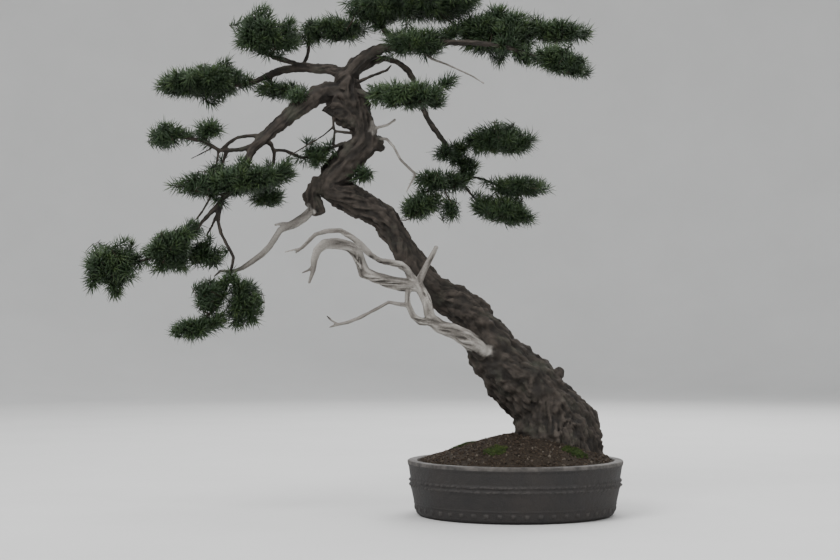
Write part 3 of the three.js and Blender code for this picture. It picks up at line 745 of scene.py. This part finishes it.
# Small tufts that break a cloud's outline: their place from the middle of the cloud's box, as shares
# of half its width, depth and height, and how many shoots each has.
TUFTS = {
    "foliage_crown_left": [(1.15, 0.1, 0.35, 5), (1.3, 0.2, -0.3, 6), (0.25, 0.0, 1.05, 3)],
    "foliage_crown_shelf": [(-1.05, 0.0, -0.6, 4)],
    "foliage_left_arm": [(0.55, 0.0, 0.8, 5), (0.35, 0.1, -0.95, 4)],
    "foliage_terrace": [(0.85, 0.0, 0.85, 6), (0.2, 0.0, 0.95, 4), (0.98, 0.0, 0.3, 3)],
    "foliage_cascade_arm": [(-0.3, 0.0, -1.0, 5), (0.4, 0.0, -0.95, 4), (0.6, 0.0, 0.9, 3)],
    "foliage_cascade_tip": [(0.2, 0.0, -1.0, 5), (-0.7, 0.0, -0.8, 3), (0.5, 0.0, 0.95, 3)],
    "foliage_tail_tip": [(1.05, 0.0, 0.7, 6)],
    "foliage_tail_right": [(-0.2, 0.0, -1.05, 5), (0.5, 0.0, -1.0, 3)],
    "foliage_right_drop_left_low": [(0.85, 0.0, 0.5, 4)],
    "foliage_crown_right": [(0.0, 0.0, -0.95, 4), (0.6, 0.0, -1.0, 5)],
    "foliage_front_shelf": [(0.9, 0.0, 0.75, 4)],
}


def frames_for(directions):
    """Two unit vectors square to each direction."""
    helper = np.where(np.abs(directions[:, 2:3]) > 0.9, [[1.0, 0, 0]], [[0, 0, 1.0]])
    first = np.cross(directions, helper)
    first /= np.linalg.norm(first, axis=1, keepdims=True)
    return first, np.cross(directions, first)


def needles(base, direction, bend, length, width):
    """Closed, slightly curved needles: a three-cornered base and middle and a point."""
    first, second = frames_for(direction)
    corners = np.empty((len(base), NEEDLE_CORNERS, 3))
    for k in range(3):
        angle = 2 * math.pi * k / 3
        flat = (np.cos(angle) * first * 0.5 + np.sin(angle) * second * 0.32) * width[:, None]
        corners[:, k] = base + flat * 0.7
        corners[:, 3 + k] = base + (direction * 0.55 + bend * 0.10) * length[:, None] + flat
    corners[:, 6] = base + (direction + bend * 0.32) * length[:, None]
    template = np.array([
        [0, 2, 1],
        [0, 1, 4], [0, 4, 3], [1, 2, 5], [1, 5, 4], [2, 0, 3], [2, 3, 5],
        [3, 4, 6], [4, 5, 6], [5, 3, 6],
    ])
    return corners.reshape(-1, 3), copies(template, NEEDLE_CORNERS, len(base))


def stem(points, radii, sides=5):
    """A closed tapered tube through points."""
    points = np.asarray(points, dtype=float)
    ways = np.gradient(points, axis=0)
    ways /= np.linalg.norm(ways, axis=1, keepdims=True)
    first, second = frames_for(ways)
    angles = 2 * np.pi * np.arange(sides)[:, None] / sides
    rings = [
        point + radius * (np.cos(angles) * across + np.sin(angles) * along)
        for point, radius, across, along in zip(points, radii, first, second)
    ]
    last = (len(points) - 1) * sides
    foot, tip = last + sides, last + sides + 1
    walls = [band(start, start + sides, sides) for start in range(0, last, sides)]
    ends = [flipped(fan(foot, 0, sides)), fan(tip, last, sides)]
    return np.concatenate([*rings, points[:1], points[-1:]]), np.concatenate(walls + ends)


def shoot_tips(low, high, tree, dice):
    """Places inside one cloud's solid, kept apart and in from its skin, with hollows and an arched base."""
    size = high - low
    gap = float(np.clip(9 * MM + 0.055 * size.mean(), 11 * MM, 18.5 * MM))
    edge = min(0.23 * size.min(), EDGE_ROOM)
    hollow = float(np.clip(0.2 * size.min(), 3 * MM, 13 * MM))
    kept = np.empty((0, 3))
    for _ in range(int(np.prod(size / gap) * 40) + 200):
        point = low + dice.random(3) * size
        near, normal, _, depth = tree.find_nearest(Vector(point))
        inside = (Vector(point) - near).dot(normal) < 0
        room = edge * (0.45 + 0.8 * dice.random())
        room += hollow * min(max(noise.noise(Vector(point) / (22 * MM)) * 2.6, 0), 1)
        across, _, up = (point - (low + high) / 2) / (size / 2)
        if not inside or depth < room or up < -0.5 - 0.5 * across ** 2:
            continue
        if len(kept) and np.linalg.norm(kept - point, axis=1).min() < gap * (0.8 + 0.4 * dice.random()):
            continue
        kept = np.vstack([kept, point])
    return kept


def stray_feet(tree, limbs, dice):
    """Places on thin living limbs just outside a cloud, where it thins out into single shoots."""
    feet, ways = [], []
    for point, axis, radius in zip(*limbs):
        if radius > 4 * MM:
            continue
        near, normal, _, gap = tree.find_nearest(Vector(point))
        outside = (Vector(point) - near).dot(normal) > 0
        if not outside or gap > STRAY_REACH * dice.random():
            continue
        if feet and np.linalg.norm(np.array(feet) - point, axis=1).min() < 7 * MM:
            continue
        way = np.cross(axis, dice.normal(0, 1, 3))
        way = way / np.linalg.norm(way) + axis * dice.normal(0, 0.5) + np.array([0, 0, 0.35])
        feet.append(point)
        ways.append(way / np.linalg.norm(way))
    return np.array(feet).reshape(-1, 3), np.array(ways).reshape(-1, 3)


def trimmed(base, way, long, tree, dice):
    """Needle lengths, cut back where they would stand out of the cloud's skin by too much."""
    allowed = FRINGE * (0.08 + 0.92 * dice.random(len(long)) ** 1.8)
    out = long.copy()
    for i, tip in enumerate(base + way * long[:, None]):
        near, normal, _, gap = tree.find_nearest(Vector(tip))
        if gap > allowed[i] and (Vector(tip) - near).dot(normal) > 0:
            out[i] = max(long[i] - (gap - allowed[i]), 0.35 * long[i])
    return out


def twigs(feet, anchors, dice):
    """Forked twigs that join each shoot's foot to the nearest wood, or to a foot joined before it."""
    order = np.argsort([np.linalg.norm(anchors - foot, axis=1).min() for foot in feet])
    nodes = [*anchors]
    cost = [0.0] * len(anchors)
    parent = {}
    for i in order:
        gaps = np.linalg.norm(np.array(nodes) - feet[i], axis=1) + 0.35 * np.array(cost)
        best = int(np.argmin(gaps))
        parent[len(nodes)] = best
        cost.append(cost[best] + float(np.linalg.norm(nodes[best] - feet[i])))
        nodes.append(feet[i])
    load = np.zeros(len(nodes))
    for node in range(len(nodes) - 1, len(anchors) - 1, -1):
        load[node] += 1
        load[parent[node]] += load[node]

    stems = []
    for node, up in parent.items():
        start, end = np.array(nodes[up]), np.array(nodes[node])
        span = np.linalg.norm(end - start)
        if span < 1 * MM:
            continue
        sag = np.array([0, 0, -0.10 * span]) + dice.normal(0, 0.05, 3) * span
        thick = min(0.55 * MM * load[node] ** 0.42, 2.4 * MM)
        thin = max(0.5 * MM, thick * 0.85)
        points = [start, start * 0.65 + end * 0.35 + sag, start * 0.3 + end * 0.7 + sag * 0.8, end]
        stems.append(stem(points, [thick * 1.1, thick, thick * 0.92, thin]))
    return stems


def shoot_needles(foot, tip, aim, reach, curl, dice):
    """One shoot's needles: their bases, directions, bends, lengths, tones and youth."""
    count = max(int(reach / NEEDLE_PITCH), LEAST_NEEDLES)
    share = np.clip((np.arange(count) + dice.random(count)) / count + 0.02, 0, 1)
    bent = curl * (2.1 * share * (1 - share))[:, None]
    base = foot + (tip - foot) * share[:, None] + bent
    turn = np.arange(count) * GOLDEN + dice.random() * 6.28
    first, second = frames_for(aim[None])
    spoke = first * np.cos(turn)[:, None] + second * np.sin(turn)[:, None]
    # The needles open wide along the shoot and close towards its tip.
    degrees = np.interp(share, [0, 0.7, 0.93, 1.0], [80, 64, 44, 16]) + dice.normal(0, 10, count)
    opened = np.radians(degrees)[:, None]
    way = aim * np.cos(opened) + spoke * np.sin(opened)
    way[:, 2] += 0.04
    way /= np.linalg.norm(way, axis=1, keepdims=True)
    bend = aim * 0.6 + dice.normal(0, 0.25, (count, 3))
    long = dice.uniform(*NEEDLE_LENGTH, count) * np.interp(share, [0, 0.1, 0.8, 1], [0.8, 1, 1, 0.72])
    tone = np.clip(dice.normal(0.45, 0.22), 0, 1) + dice.normal(0, 0.08, count)
    young = np.clip((share - 0.72) / 0.28, 0, 1) * (0.35 + 0.65 * dice.random())
    return base, way, bend, long, tone, young


def make_cloud(name, limbs, looks, dice):
    """One cloud: twigs from the nearest wood, shoots on the twigs and needles round the shoots."""
    tree = node_tree(name)
    corners = node_mesh(name)[0]
    low, high = corners.min(axis=0), corners.max(axis=0)
    middle, half = (low + high) / 2, (high - low) / 2
    tufts = [
        middle + half * place + dice.normal(0, 5 * MM, 3)
        for *place, shoots in TUFTS.get(name, []) for _ in range(shoots)
    ]
    tips = np.concatenate([shoot_tips(low, high, tree, dice), np.reshape(tufts, (-1, 3))])

    inside_box = np.all(np.abs(limbs[0] - middle) < half + 4 * MM, axis=1)
    anchors = limbs[0][inside_box]
    if len(anchors) == 0:
        gap = np.linalg.norm(limbs[0] - middle, axis=1)
        anchors = limbs[0][np.argsort(gap)[:3]]

    # Shoots point out of the cloud, and those at its base start a little above its underside.
    out = (tips - middle) / half
    aim = out * np.array([1.0, 1.0, 0.7]) + np.array([0, 0, 0.06])
    aim += dice.normal(0, 0.34, tips.shape)
    aim /= np.linalg.norm(aim, axis=1, keepdims=True)
    reach = dice.uniform(*SHOOT_LENGTH, len(tips))
    reach *= np.clip(half.min() / (30 * MM), 0.55, 1)
    feet = tips - aim * reach[:, None]
    low_side = feet[:, 2] < middle[2] - half[2] * 0.75
    feet[low_side, 2] = middle[2] - half[2] * 0.7
    stems = twigs(feet, anchors, dice)

    # Single shoots stand along the thin limbs that lead into the cloud.
    stray, stray_aim = stray_feet(tree, limbs, dice)
    stray_reach = dice.uniform(5 * MM, 11 * MM, len(stray))
    feet = np.concatenate([feet, stray])
    tips = np.concatenate([tips, stray + stray_aim * stray_reach[:, None]])
    aim = np.concatenate([aim, stray_aim])
    reach = np.concatenate([reach, stray_reach])

    shoots = []
    for foot, tip, way, length in zip(feet, tips, aim, reach):
        curl = dice.normal(0, 0.08, 3) * length + np.array([0, 0, -0.06 * length])
        points = [
            foot,
            foot * 0.66 + tip * 0.34 + curl * 0.7,
            foot * 0.33 + tip * 0.67 + curl * 0.7,
            tip,
        ]
        stems.append(stem(points, [0.6 * MM, 0.5 * MM, 0.42 * MM, 0.3 * MM]))
        shoots.append(shoot_needles(foot, tip, way, length, curl, dice))
    base, way, bend, long, tone, young = (np.concatenate(rows) for rows in zip(*shoots))

    # Tufts and single shoots stand free of the skin. All other needles are cut back near it.
    inner = sum(len(shoot[0]) for shoot in shoots[:len(tips) - len(tufts) - len(stray)])
    long[:inner] = trimmed(base[:inner], way[:inner], long[:inner], tree, dice)
    long[inner:] *= 0.85
    width = NEEDLE_WIDTH * dice.uniform(0.8, 1.15, len(base))
    leaf_corners, leaf_faces = needles(base, way, bend, long, width)
    stem_corners, stem_faces = joined(stems)
    all_corners, all_faces = joined([(stem_corners, stem_faces), (leaf_corners, leaf_faces)])
    groups = np.repeat([0, 1], [len(stem_faces), len(leaf_faces)])
    values = {
        key: np.concatenate([np.zeros(len(stem_corners)), np.repeat(column, NEEDLE_CORNERS)])
        for key, column in (("tone", np.clip(tone, 0, 1)), ("young", young))
    }
    piece = new_object(name + "_shoots", all_corners, all_faces, looks, groups, values)
    finish_piece(piece, name)


def make_foliage(limbs, looks):
    for index, name in enumerate(nodes_named("foliage_")):
        make_cloud(name, limbs, looks, np.random.default_rng(100 + index))


# ---- Pot ----

def points_between(start, end, step):
    """Points every step or so from start, without end."""
    (r0, z0), (r1, z1) = start, end
    count = max(int(math.hypot(r1 - r0, z1 - z0) / step), 1)
    return [(r0 + (r1 - r0) * k / count, z0 + (z1 - z0) * k / count) for k in range(count)]


def arc(centre_r, centre_z, radius, start, end, steps):
    return [
        (centre_r + radius * math.cos(math.radians(start + (end - start) * k / steps)),
         centre_z + radius * math.sin(math.radians(start + (end - start) * k / steps)))
        for k in range(steps + 1)
    ]


def make_pot(look):
    low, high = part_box("pot")
    rim = high.x
    top = high.z
    floor = 12 * MM
    lip = 17 * MM
    foot = rim - 20 * MM
    skirt = rim - 15 * MM
    belt = rim - 5 * MM
    belt_top, belt_bottom = 65 * MM, 50 * MM
    edge = 3.2 * MM
    outline = [(0.0, 0.0), (foot - 1 * MM, 0.0), (foot, 1 * MM), (foot, 3 * MM), (skirt - 4 * MM, 3 * MM)]
    outline += arc(skirt - 4 * MM, 7 * MM, 4 * MM, -80, 0, 5)
    outline += [(belt - 1.5 * MM, belt_bottom - 5 * MM), (belt, belt_bottom), (belt, belt_top)]
    outline += [(rim - 2.2 * MM, top - 11 * MM), (rim - 0.6 * MM, top - 8 * MM)]
    outline += arc(rim - edge, top - edge, edge, 0, 90, 6)
    outline += arc(rim - lip + edge, top - edge, edge, 90, 180, 6)
    outline += [(rim - lip, top - 9 * MM), (skirt - 12 * MM, floor + 3 * MM)]
    outline += arc(skirt - 15 * MM, floor + 3 * MM, 3 * MM, 0, -90, 3)
    outline += [(0.0, floor)]
    profile = []
    for start, end in zip(outline[:-1], outline[1:]):
        outside = min(start[0], end[0]) > foot - 2 * MM
        profile += points_between(start, end, 1.2 * MM if outside else 12 * MM)
    sectors = 480
    angles = 2 * np.pi * np.arange(sectors) / sectors
    rings = [ring_at(r, z, angles) for r, z in profile[1:]]
    last = (len(rings) - 1) * sectors
    bottom, inside = last + sectors, last + sectors + 1
    corners = np.concatenate([*rings, [(0, 0, 0)], [(0, 0, floor)]])
    faces = [band(start, start + sectors, sectors) for start in range(0, last, sectors)]
    faces += [flipped(fan(bottom, 0, sectors)), fan(inside, last, sectors)]
    faces = np.concatenate(faces)

    reach = np.hypot(corners[:, 0], corners[:, 1])
    outward = np.stack([corners[:, 0], corners[:, 1], np.zeros(len(corners))], axis=1)
    outward /= np.maximum(reach, 1e-9)[:, None]
    outer = reach > foot - 1 * MM
    height = corners[:, 2]
    turn = np.arctan2(corners[:, 1], corners[:, 0])

    # The belt: two rough ridges of pressed clay with a shallow gutter between them.
    middle, spread_z = (belt_top + belt_bottom) / 2, (belt_top - belt_bottom) / 2
    level = (height - middle) / spread_z
    ridge = np.exp(-((np.abs(level) - 0.52) / 0.30) ** 2)
    rough = plates_at(corners, 7.5 * MM, 21) * 0.9 + noise_at(corners, 5 * MM, 22) * 0.5 + 0.35
    belt_rise = np.where(outer & (np.abs(level) < 1.25), ridge * rough * 2.6 * MM, 0)
    # Small studs round the foot of the wall.
    studs = 48
    stud_angle = (turn * studs / (2 * math.pi)) % 1 - 0.5
    stud_gap = np.hypot(stud_angle * 2 * math.pi / studs * reach, height - 13 * MM)
    stud_rise = np.where(outer, np.sqrt(np.clip(1 - (stud_gap / (4.2 * MM)) ** 2, 0, 1)) * 2.0 * MM, 0)
    line = np.where(outer, np.exp(-((height - 21 * MM) / (1.1 * MM)) ** 2) * 0.9 * MM, 0)
    hand = noise_at(corners, 60 * MM, 23) * 0.8 * MM + noise_at(corners, 9 * MM, 24) * 0.25 * MM
    hand = np.where(outer & (height > 4 * MM), hand, 0)
    corners = corners + outward * (belt_rise + stud_rise + line + hand)[:, None]
    # Painted highlight and rubbed wear: the rim lip, the belt ridges and the studs are marked to be drawn
    # paler.
    lip_edge = np.where((height > top - 6 * MM) & (reach > rim - lip - 1 * MM), 1.0, 0.0)
    raised = ridge * (belt_rise > 1.6 * MM) + (stud_rise > 1.2 * MM)
    highlight_and_wear = np.clip(lip_edge * 0.9 + raised * 0.35, 0, 1)
    pot = new_object("clay_pot", corners, faces, [look], values={"highlight_and_wear": highlight_and_wear})

    for name in nodes_named("drain_screen"):
        screen_low, screen_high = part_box(name)
        x, y = (screen_low.x + screen_high.x) / 2, (screen_low.y + screen_high.y) / 2
        drill(pot, x, y, 11 * MM, floor)
    wire_low, wire_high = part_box("tie_wire")
    cut_groove(pot, wire_low.x, wire_high.x, wire_low.y + 1 * MM)
    finish_piece(pot, "pot")


def drill(pot, x, y, radius, depth):
    mesh = bmesh.new()
    bmesh.ops.create_cone(
        mesh, cap_ends=True, segments=40, radius1=radius, radius2=radius, depth=depth + 8 * MM,
        matrix=Matrix.Translation((x, y, depth / 2)),
    )
    subtract(pot, mesh)


def cut_groove(pot, left, right, y):
    mesh = bmesh.new()
    bmesh.ops.create_cube(mesh, size=1)
    bmesh.ops.scale(mesh, vec=(right - left, 5 * MM, 7.2 * MM), verts=mesh.verts)
    bmesh.ops.translate(mesh, vec=((left + right) / 2, y, 0), verts=mesh.verts)
    subtract(pot, mesh)


def subtract(pot, mesh):
    data = bpy.data.meshes.new("cutter")
    mesh.to_mesh(data)
    mesh.free()
    cutter = bpy.data.objects.new("cutter", data)
    bpy.context.scene.collection.objects.link(cutter)
    cut = pot.modifiers.new("cut", "BOOLEAN")
    cut.object = cutter
    cut.solver = "EXACT"
    applied(pot)
    bpy.data.objects.remove(cutter)


# ---- Soil and moss ----

def soil_heights(points):
    """The height of the CAD soil at each place. A place in a hole takes its neighbour's height."""
    tree = node_tree("soil")
    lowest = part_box("pot")[1].z - 12 * MM
    out = np.full(len(points), np.nan)
    for i, (x, y) in enumerate(points):
        hit = tree.ray_cast(Vector((x, y, 1.0)), Vector((0, 0, -1)))
        if hit[0] is not None and hit[0].z > lowest:
            out[i] = hit[0].z
    lost = np.isnan(out)
    if lost.any():
        flat = np.column_stack([points, np.zeros(len(points))])
        out[lost], = nearest_values(flat[lost], flat[~lost], out[~lost])
    return out


def ball_mesh(detail):
    mesh = bmesh.new()
    bmesh.ops.create_icosphere(mesh, subdivisions=detail, radius=1)
    return emptied(mesh)


def make_soil(look, grain):
    low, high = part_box("soil")
    radius = high.x
    rings, sectors = 84, 240
    angles = 2 * np.pi * np.arange(sectors) / sectors
    reaches = radius * np.arange(1, rings + 1) / rings
    places = np.concatenate([[(0.0, 0.0)], *(ring_at(reach, 0, angles)[:, :2] for reach in reaches)])
    top = np.column_stack([places, soil_heights(places)])
    inner = np.hypot(places[:, 0], places[:, 1]) < radius * 0.99
    crumb = noise_at(top, 4 * MM, 31) * 1.0 * MM + noise_at(top, 12 * MM, 32) * 1.4 * MM
    top[:, 2] += np.where(inner, crumb, 0)
    corners = np.concatenate([top, ring_at(radius - 8 * MM, low.z, angles), [(0, 0, low.z)]])
    base = len(top)
    faces = [fan(0, 1, sectors)]
    faces += [flipped(band(start, start + sectors, sectors)) for start in range(1, base, sectors)]
    faces.append(flipped(fan(base + sectors, base, sectors)))
    body = new_object("soil_mound", corners, np.concatenate(faces), [look])
    finish_piece(body, "soil")

    dice = np.random.default_rng(5)
    count = 4200
    spots = np.sqrt(dice.random(count)) * (radius - 4 * MM)
    turn = dice.random(count) * 2 * np.pi
    places = np.column_stack([spots * np.cos(turn), spots * np.sin(turn)])
    heights = soil_heights(places)
    ball, ball_faces = ball_mesh(1)
    sizes = dice.uniform(0.9, 2.3, count) * MM
    shape = ball[None] * (1 + dice.normal(0, 0.16, (count, len(ball), 1)))
    shape = shape * sizes[:, None, None] * dice.uniform(0.7, 1.25, (count, 1, 3))
    grains = shape + np.column_stack([places, heights + sizes * 0.4])[:, None, :]
    tone = np.repeat(np.clip(dice.normal(0.5, 0.25, count), 0, 1), len(ball))
    piece = new_object(
        "soil_grains", grains.reshape(-1, 3), copies(ball_faces, len(ball), count), [grain],
        values={"tone": tone}, smooth=False,
    )
    finish_piece(piece, "soil")


def make_moss(look):
    """Each patch is a crowd of small tufted cushions over the place of its CAD cushion."""
    ball, ball_faces = ball_mesh(2)
    for index, name in enumerate(nodes_named("moss_patch")):
        dice = np.random.default_rng(300 + index)
        low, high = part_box(name)
        middle = np.array([(low.x + high.x) / 2, (low.y + high.y) / 2])
        half = np.array([high.x - low.x, high.y - low.y]) / 2
        count = 95
        turn = dice.random(count) * 2 * np.pi
        ragged = 0.78 + 0.22 * np.sin(3 * turn + index) * np.cos(2 * turn + 2 * index)
        share = dice.random(count) ** 0.6
        around = np.column_stack([np.cos(turn), np.sin(turn)])
        spots = middle + around * half * (share * ragged)[:, None]
        heights = soil_heights(spots)
        sizes = dice.uniform(3.2, 6.2, count) * MM * (1.15 - 0.6 * share)
        centres = np.column_stack([spots, heights + 0.2 * MM])
        squat = np.array([1, 1, 0.62])
        shape = ball[None] * squat * sizes[:, None, None]
        shape = shape * (1 + dice.normal(0, 0.07, (count, len(ball), 1)))
        blobs = (shape + centres[:, None, :]).reshape(-1, 3)
        blob_faces = copies(ball_faces, len(ball), count)
        upper = np.where(ball[:, 2] > 0.05)[0]
        blades_each = 22
        pick = dice.choice(upper, (count, blades_each))
        way = ball[pick] + dice.normal(0, 0.35, (count, blades_each, 3))
        way /= np.linalg.norm(way, axis=2, keepdims=True)
        base = centres[:, None, :] + ball[pick] * squat * sizes[:, None, None] * 0.95
        total = count * blades_each
        blades, blade_faces = needles(
            base.reshape(-1, 3), way.reshape(-1, 3), dice.normal(0, 0.5, (total, 3)),
            dice.uniform(1.4, 3.0, total) * MM, np.full(total, 0.7 * MM),
        )
        all_corners, all_faces = joined([(blobs, blob_faces), (blades, blade_faces)])
        shade = np.clip(dice.normal(0.45, 0.2, count), 0, 1)
        blade_corners = blades_each * NEEDLE_CORNERS
        tone = np.concatenate([np.repeat(shade * 0.6, len(ball)), np.repeat(shade, blade_corners)])
        piece = new_object(name + "_cushions", all_corners, all_faces, [look], values={"tone": tone})
        finish_piece(piece, name)


# ---- Assembly ----

def dress_node(name, look):
    """A CAD node that keeps its own shape gets a better material."""
    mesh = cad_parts[name].data
    mesh.materials.clear()
    mesh.materials.append(look)


make_camera()
make_studio()
make_pot(clay_look())
make_soil(soil_look(), grain_look())
make_moss(moss_look())
living_limbs = make_wood(wood_look())
make_foliage(living_limbs, [twig_look(), needle_look()])
screen = plastic_look()
for node in nodes_named("drain_screen"):
    dress_node(node, screen)
dress_node("tie_wire", wire_look())
